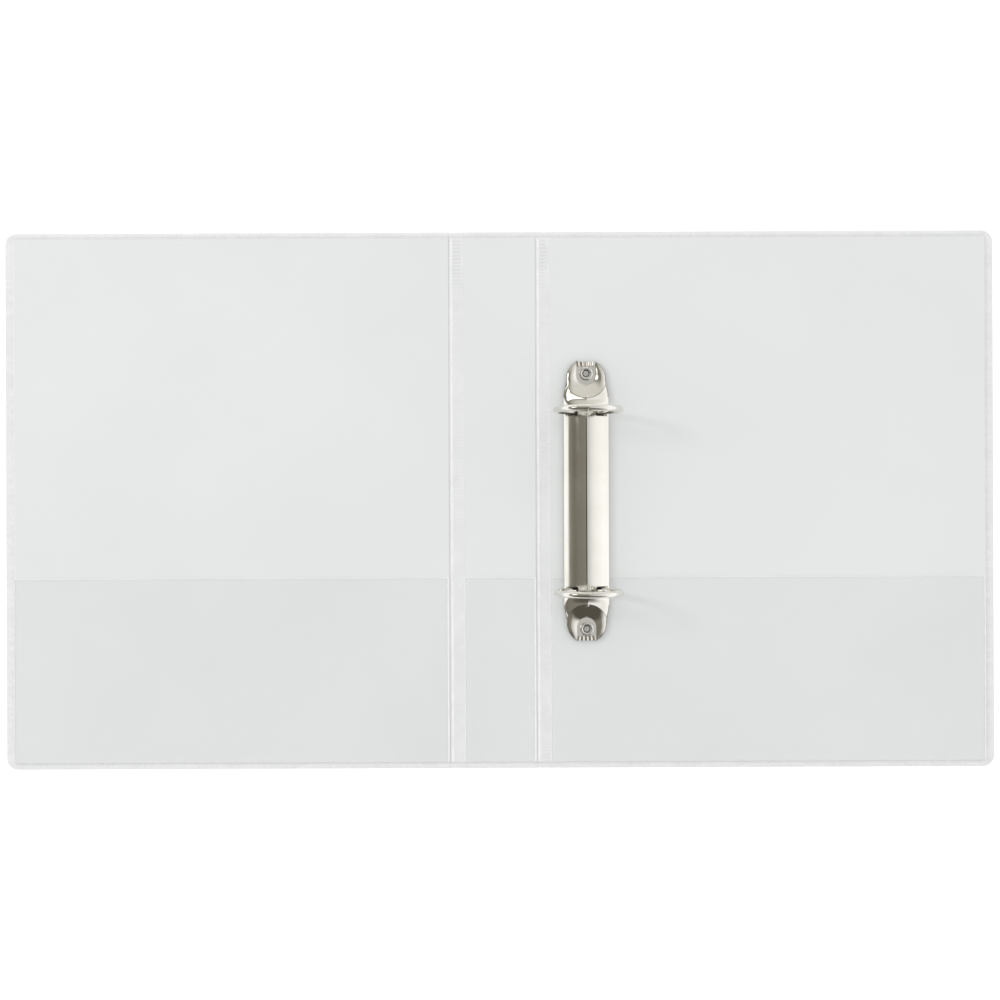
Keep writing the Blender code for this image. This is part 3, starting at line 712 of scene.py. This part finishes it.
def dish_distances(x, y):
    """How far a point is outside the flat seat of the rivet, and how far inside the rim of its dish."""
    rivet_y = abs(rivet_centres()[0][1] - housing_size()[0].y)
    to_seat = np.hypot(x, np.minimum(y - rivet_y + SEAT_SHIFT, 0)) - SEAT_RADIUS
    to_rim = DISH_RADIUS - np.hypot(x, np.clip(y - rivet_y + DISH_SHIFT, None, 0))
    return to_seat, to_rim, y - rivet_y


def housing_height(x, y, width, height):
    """Top of the sheet metal: the roof, and the dish pressed down to the seat of each rivet."""
    roof = roof_height(x, y, width, height)
    to_seat, to_rim, past_rivet = dish_distances(x, y)
    inside, outside = np.clip(to_seat, 0, None), np.clip(to_rim, 0, None)
    dish = SEAT_Z + (roof - SEAT_Z) * inside / np.maximum(inside + outside, 1e-9)
    past = ramp(past_rivet, *RIB_SPAN)
    spread = x / (1 + 0.04 * past_rivet / MM * past)
    ribs = RIB_DEPTH * np.cos(TAU * spread / RIB_WIDTH) * past
    return dish + ribs * ramp(np.abs(spread), RIB_REACH, RIB_REACH - 0.6 * MM)


def edge_faces(shell, centre, half_width, half_length):
    """Marks the faces along the round ends and along the rim of each dish for the painted edge shade."""
    middles = np.empty(len(shell.data.polygons) * 3)
    shell.data.polygons.foreach_get("center", middles)
    x, y, _ = (middles.reshape(-1, 3) - np.array(centre)).T
    x, y = np.abs(x), np.abs(y)
    border = outline_half_width(y, half_width, half_length) - x
    _, to_rim, _ = dish_distances(x, y)
    on_border = (y > TAPER_START) & (border < EDGE_BAND)
    on_rim = (np.abs(to_rim) < EDGE_BAND / 2) & (border > 0)
    shell.data.polygons.foreach_set("material_index", (on_border | on_rim).astype(np.int32))


def housing_rows(half_width, half_length, height):
    """Cross sections from end to end. Each comes down at both sides, and the two end ones are lowered."""
    steps = np.linspace(-1, 1, 129)
    reach = np.sign(steps) * (0.75 * np.abs(steps) + 0.25 * np.sin(np.abs(steps) * math.pi / 2))
    half = lines((0.0, 40 * MM, 2 * MM), (40 * MM, half_length, 0.17 * MM))
    climbing = np.array([0.0, 0.25, 0.5, 0.75])
    rows = []
    for y in np.concatenate([-half[::-1], half[1:]]):
        width = float(outline_half_width(np.array(abs(y)), half_width, half_length))
        x = reach * width
        z = housing_height(x, np.full_like(x, abs(y)), width, height)
        x = np.concatenate([np.full(4, x[0]), x, np.full(4, x[-1])])
        z = np.concatenate([climbing * z[0], z, climbing[::-1] * z[-1]])
        rows.append(np.stack([x, np.full_like(x, y), z], -1))
    first = [rows[0] * (1, 1, share) for share in (0.0, 0.35, 0.7)]
    last = [rows[-1] * (1, 1, share) for share in (0.7, 0.35, 0.0)]
    return np.stack(first + rows + last)


def housing_shell():
    centre, half_width, half_length, height = housing_size()
    points = housing_rows(half_width, half_length, height) + np.array(centre)
    count_y, count_x = points.shape[:2]
    index = np.arange(count_y * count_x).reshape(count_y, count_x)
    faces = np.stack([index[:-1, :-1], index[:-1, 1:], index[1:, 1:], index[1:, :-1]], -1).reshape(-1, 4)
    shell = new_object("ring_housing_shell", points.reshape(-1, 3), faces)
    face_outwards(shell.data, merge=0.002 * MM)
    solidify = shell.modifiers.new("sheet_metal", "SOLIDIFY")
    solidify.thickness = WALL
    solidify.offset = -1.0
    apply_modifiers(shell)
    return shell


def make_housing(metal, edge):
    centre, half_width, half_length, _ = housing_size()
    shell = housing_shell()
    tools = []
    for ring in ("upper", "lower"):
        low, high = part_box(f"{ring}_left_ring_half")
        y = (low.y + high.y) / 2
        for side in (-1, 1):
            near, far = centre.x + side * NOTCH_START, centre.x + side * (half_width + MM)
            tools.append(rounded_slot(near, far, y, side, centre.z + NOTCH_FLOOR))
    tools += [cylinder(RIVET_HOLE, centre.z - MM, centre.z + 2 * MM, place) for place in rivet_centres()]
    cut(shell, tools)
    shade(shell, 38.0)
    shell.data.materials.clear()
    shell.data.materials.append(metal)
    # The second material is painted shade: a dark outline along the round ends and dish rims.
    shell.data.materials.append(edge)
    edge_faces(shell, centre, half_width, half_length)
    finish_piece(shell, "back_cover", "nickel", "ring_housing")


def anticlockwise(outline):
    area = sum(a[0] * b[1] - b[0] * a[1] for a, b in zip(outline, outline[1:] + outline[:1]))
    return outline[::-1] if area < 0 else outline


def rounded_slot(inner, outer, y, side, floor_z):
    """Cutter of a ring notch, with round inner corners."""
    corner_x = inner + side * NOTCH_CORNER
    corners = []
    for end in (-1, 1):
        arc = []
        for step in range(7):
            angle = math.pi / 2 * step / 6
            across = NOTCH_HALF_WIDTH - NOTCH_CORNER + NOTCH_CORNER * math.cos(angle)
            arc.append((corner_x - side * NOTCH_CORNER * math.sin(angle), y + end * across))
        corners.append(arc)
    outline = [(outer, y - NOTCH_HALF_WIDTH), *corners[0], *corners[1][::-1], (outer, y + NOTCH_HALF_WIDTH)]
    return prism(anticlockwise(outline), floor_z, floor_z + 12 * MM)


# --- rings, blades and rivets --------------------------------------------------------------------

RING_RADIUS, WIRE_RADIUS = 14.0 * MM, 1.46 * MM
RING_CENTRE_Z = 16.5 * MM
RING_FOOT_X = 5.3 * MM
TONGUE, JOINT_LEAN, JOINT_GAP, JOINT_BEVEL = 0.9 * MM, 0.35 * MM, 0.14 * MM, 0.18 * MM
BORE_FLOOR, BORE_EDGE, BORE_RING = 1.2 * MM, 1.24 * MM, 1.6 * MM
SHANK_RADIUS, HEAD_THICKNESS = 2.0 * MM, 0.5 * MM


def skin_loops(name, verts, sides):
    """A closed object over loops of points, each with the same number of sides, with flat ends."""
    last = len(verts) - sides
    faces = []
    for start in range(0, last, sides):
        for i in range(sides):
            j = (i + 1) % sides
            faces.append((start + i, start + j, start + sides + j, start + sides + i))
    faces += [tuple(range(sides)), tuple(range(last + sides - 1, last - 1, -1))]
    mesh = bpy.data.meshes.new(name)
    mesh.from_pydata(verts, [], faces)
    face_outwards(mesh)
    return link_object(name, mesh)


def wire_arc(name, middle, side, start, end):
    """A round wire in the XZ plane, along part of a circle."""
    steps, sides = 110, 28
    verts = []
    for step in range(steps + 1):
        angle = start + (end - start) * step / steps
        out = Vector((side * math.sin(angle), 0, -math.cos(angle)))
        point = middle + out * RING_RADIUS
        for i in range(sides):
            turn = TAU * i / sides
            reach = math.cos(turn) * out + math.sin(turn) * Vector((0, 1, 0))
            verts.append(tuple(point + WIRE_RADIUS * reach))
    return skin_loops(name, verts, sides)


def joint_outline(x, y, side):
    """What the zigzag joint cuts off one half of a ring, as seen from above."""
    wide, far = 4 * MM, x - side * 9 * MM
    return anticlockwise([
        (x + side * (TONGUE + JOINT_LEAN + JOINT_GAP), y + side * wide),
        (x + side * (TONGUE - JOINT_LEAN + JOINT_GAP), y + side * 0.1 * MM),
        (x + side * (-TONGUE + JOINT_LEAN + JOINT_GAP), y - side * 0.1 * MM),
        (x + side * (-TONGUE - JOINT_LEAN + JOINT_GAP), y - side * wide),
        (far, y - side * wide),
        (far, y + side * wide),
    ])


def ring_half(name, ring, side, metal):
    """Wire from its foot in the housing round one side to the interlocking joint at the top."""
    centre, _, _, _ = housing_size()
    low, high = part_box(f"{ring}_left_ring_half")
    middle = Vector((centre.x, (low.y + high.y) / 2, centre.z + RING_CENTRE_Z))
    start = math.asin(RING_FOOT_X / RING_RADIUS)
    end = math.pi + math.asin((TONGUE + 0.2 * MM) / RING_RADIUS)
    wire = wire_arc(name, middle, side, start, end)
    cut(wire, [prism(joint_outline(middle.x, middle.y, side), middle.z, middle.z + 20 * MM)])
    foot_z = middle.z - math.sqrt(RING_RADIUS**2 - RING_FOOT_X**2)
    foot_place = (middle.x + side * RING_FOOT_X, middle.y)
    cut(wire, [cylinder(MM, centre.z + 0.4 * MM, foot_z, foot_place)], "UNION")
    bevel = wire.modifiers.new("broken_edges", "BEVEL")
    bevel.width = JOINT_BEVEL
    bevel.segments = 2
    bevel.limit_method = "ANGLE"
    bevel.angle_limit = math.radians(40)
    apply_modifiers(wire)
    shade(wire, 45.0)
    wire.data.materials.clear()
    wire.data.materials.append(metal)
    side_name = "left" if side < 0 else "right"
    finish_piece(wire, f"{side_name}_ring", "nickel", f"{ring}_{side_name}_ring_half")


def rivet_profile(top_z, head):
    """Radius and height round half of a rivet's section, from its blind bore to under its head."""
    flange_z, ring_z = top_z - 0.9 * MM, top_z - 1.6 * MM
    profile = [(BORE_FLOOR, flange_z), (BORE_EDGE, ring_z), (BORE_RING, ring_z)]
    for step in range(13):
        angle = math.pi * (1.15 - 1.3 * step / 12)
        reach, rise = 2.35 * MM + 0.78 * MM * math.cos(angle), 0.32 * MM + 0.55 * MM * math.sin(angle)
        profile.append((reach, flange_z + rise))
    profile += [(3.0 * MM, flange_z), (SHANK_RADIUS, flange_z - 0.05 * MM), (SHANK_RADIUS, HEAD_THICKNESS)]
    profile += [(head - 0.15 * MM, HEAD_THICKNESS), (head, 0.35 * MM), (head, 0.12 * MM)]
    return profile + [(head - 0.12 * MM, 0.0)]


def rivet(name, node, metal, dark):
    """Turned rivet: flat head, shank, and a flange rolled over on the housing round a blind bore."""
    low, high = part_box(node)
    centre_x, centre_y = (low.x + high.x) / 2, (low.y + high.y) / 2
    segments = 64
    verts = []
    for radius, z in rivet_profile(high.z, (high.x - low.x) / 2):
        for i in range(segments):
            angle = TAU * i / segments
            reach = radius * (1 + 0.012 * math.cos(6 * angle + 0.4) * (z > high.z - 0.9 * MM))
            verts.append((centre_x + reach * math.cos(angle), centre_y + reach * math.sin(angle), z))
    obj = skin_loops(name, verts, segments)
    shade(obj, 35.0)
    obj.data.materials.append(metal)
    obj.data.materials.append(dark)
    # Painted shade: the faces of the ring round the blind bore take the dark edge material.
    for face in obj.data.polygons:
        reach = math.hypot(face.center.x - centre_x, face.center.y - centre_y)
        bore_shade = BORE_FLOOR < reach < 1.66 * MM and face.center.z > MM
        face.material_index = int(bore_shade and len(face.vertices) == 4)
    finish_piece(obj, "back_cover", "rivet_steel", node)


def make_mechanism():
    steel, rivet_metal, wire = blade_steel(), rivet_steel(), nickel("nickel_wire", 0.10, 0.20)
    # Painted shade: dark metal for the housing's cut edges and dish rims, and for each rivet's bore.
    edge = edge_shade()
    make_housing(nickel(), edge)
    for ring in ("upper", "lower"):
        for side, side_name in ((-1, "left"), (1, "right")):
            ring_half(f"{ring}_{side_name}_ring_wire", ring, side, wire)
        rivet(f"{ring}_turned_rivet", f"{ring}_rivet", rivet_metal, edge)
    for side_name in ("left", "right"):
        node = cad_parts[f"{side_name}_carrier_blade"]
        node.data.materials.clear()
        node.data.materials.append(steel)


# --- studio --------------------------------------------------------------------------------------


def make_floor():
    size = 6.0
    floor = new_object(
        "floor", [(-size, -size, 0), (size, -size, 0), (size, size, 0), (-size, size, 0)], [(0, 1, 2, 3)]
    )
    floor.location.z = -0.05 * MM
    floor.data.materials.append(pale_floor())


class Studio:
    """World nodes that say how bright the studio is in each direction."""

    def __init__(self):
        world = bpy.data.worlds.new("studio")
        bpy.context.scene.world = world
        world.use_nodes = True
        self.tree = world.node_tree
        self.tree.nodes.clear()
        self.direction = self.tree.nodes.new("ShaderNodeTexCoord").outputs["Generated"]

    def along(self, direction, start, end, smooth=True):
        """Runs from 0 to 1 while the cosine with a direction runs from start to end."""
        dot = self.tree.nodes.new("ShaderNodeVectorMath")
        dot.operation = "DOT_PRODUCT"
        dot.inputs[1].default_value = direction
        self.tree.links.new(self.direction, dot.inputs[0])
        span = self.tree.nodes.new("ShaderNodeMapRange")
        span.interpolation_type = "SMOOTHSTEP" if smooth else "LINEAR"
        span.inputs["From Min"].default_value = start
        span.inputs["From Max"].default_value = end
        self.tree.links.new(dot.outputs["Value"], span.inputs["Value"])
        return span.outputs["Result"]

    def lobe(self, direction, inner, outer):
        """1 within the inner angle of a direction, 0 beyond the outer one."""
        unit = Vector(direction).normalized()
        return self.along(unit, math.cos(math.radians(outer)), math.cos(math.radians(inner)))

    def sweep(self, value, stops):
        ramp_node = self.tree.nodes.new("ShaderNodeValToRGB")
        elements = ramp_node.color_ramp.elements
        while len(elements) < len(stops):
            elements.new(0.5)
        for element, (position, level, tint) in zip(elements, stops):
            element.position = position
            element.color = (*(level * c for c in tint), 1.0)
        self.tree.links.new(value, ramp_node.inputs["Fac"])
        return ramp_node.outputs["Color"]

    def over(self, below, colour, mask):
        mix = self.tree.nodes.new("ShaderNodeMixRGB")
        self.tree.links.new(below, mix.inputs["Color1"])
        mix.inputs["Color2"].default_value = (*colour, 1.0)
        self.tree.links.new(mask, mix.inputs["Fac"])
        return mix.outputs["Color"]

    def background(self, colour):
        light = self.tree.nodes.new("ShaderNodeBackground")
        if isinstance(colour, tuple):
            light.inputs["Color"].default_value = (*colour, 1.0)
        else:
            self.tree.links.new(colour, light.inputs["Color"])
        return light.outputs[0]

    def choose(self, ray, usual, for_ray):
        path = self.tree.nodes.new("ShaderNodeLightPath")
        mix = self.tree.nodes.new("ShaderNodeMixShader")
        self.tree.links.new(path.outputs[ray], mix.inputs["Fac"])
        self.tree.links.new(usual, mix.inputs[1])
        self.tree.links.new(for_ray, mix.inputs[2])
        return mix.outputs[0]


def make_world():
    """Even light all round. Metal reflects a studio that is dim on one side and bright on the other."""
    studio = Studio()
    warm, bright = (1.0, 0.93, 0.76), (1.0, 0.99, 0.96)
    seen = studio.sweep(
        studio.along((1.0, 0.0, 0.0), -1.0, 1.0, smooth=False),
        (
            (0.0, 0.36, warm), (0.06, 0.19, warm), (0.14, 0.23, warm), (0.35, 0.26, warm),
            (0.49, 0.30, warm), (0.52, 0.62, bright), (0.67, 0.66, bright), (1.0, 1.2, bright),
        ),
    )
    low_down = studio.along((0.0, 0.0, 1.0), 0.33, 0.27)
    far_end, near_end = studio.lobe((0.0, 1.0, 0.30), 25.0, 60.0), studio.lobe((0.0, -1.0, 0.35), 30.0, 52.0)
    lamp, overhead = studio.lobe(KEY_FROM, 6.0, 12.0), studio.lobe((-0.07, 0.0, 1.0), 5.5, 8.5)
    seen = studio.over(seen, (1.2, 1.19, 1.16), low_down)
    seen = studio.over(seen, (0.76, 0.74, 0.68), far_end)
    seen = studio.over(seen, (0.10, 0.09, 0.07), near_end)
    seen = studio.over(seen, (2.6, 2.55, 2.45), lamp)
    seen = studio.over(seen, (0.03, 0.028, 0.025), overhead)
    even = studio.background((FILL_LEVEL, FILL_LEVEL, FILL_LEVEL))
    lit = studio.choose("Is Glossy Ray", even, studio.background(seen))
    final = studio.choose("Is Camera Ray", lit, studio.background((1.0, 1.0, 1.0)))
    output = studio.tree.nodes.new("ShaderNodeOutputWorld")
    studio.tree.links.new(final, output.inputs["Surface"])


def make_key_light():
    """A soft lamp, low on the left, that gives the rings their faint shadows."""
    data = bpy.data.lights.new("key", "AREA")
    data.shape = "DISK"
    data.size = 0.30
    data.energy = KEY_WATTS
    light = link_object("key", data)
    light.location = KEY_FROM.normalized() * 1.5
    light.rotation_euler = KEY_FROM.to_track_quat("Z", "Y").to_euler()
    light.visible_glossy = False


def make_camera():
    data = bpy.data.cameras.new("camera")
    data.lens = 50.0
    data.sensor_width = 36.0
    camera = link_object("camera", data)
    camera.location = CAMERA_PLACE
    camera.rotation_euler = (0.0, 0.0, CAMERA_ROLL)
    bpy.context.scene.camera = camera
    bpy.context.scene.view_settings.view_transform = "Standard"


make_camera()
make_world()
make_key_light()
make_floor()
make_cover()
make_mechanism()
